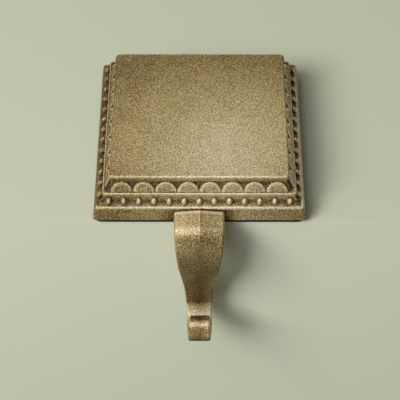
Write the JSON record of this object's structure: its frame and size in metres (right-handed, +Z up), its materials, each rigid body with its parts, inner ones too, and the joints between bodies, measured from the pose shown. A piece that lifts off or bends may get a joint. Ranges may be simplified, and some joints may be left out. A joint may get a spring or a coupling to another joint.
{
  "type": "mantel stocking holder",
  "caption": "Square weighted mantel base with scallop and bead moulding, and a tapering hook arm that drops over the mantel edge to an upturned tip.",
  "frame": {"origin": "on the underside of the non-slip pad, below the middle of the square base: the point that rests on the mantel top", "axes": "+Z up, +Y towards the wall, the hook arm on the -Y side, +X to the right seen from the room"},
  "size_m": [0.0998, 0.1253, 0.0861],
  "materials": {
    "cast_body": "antique brass finish, worn bright on the edges, dark in the recesses",
    "cast_arm": "antique brass finish",
    "screws": "plain",
    "pad": "matt"
  },
  "bodies": {
    "root": {"base_casting": "cast_body", "hook_arm": "cast_arm", "tang_screws": "screws", "non_slip_pad": "pad"}
  },
  "joints": []
}
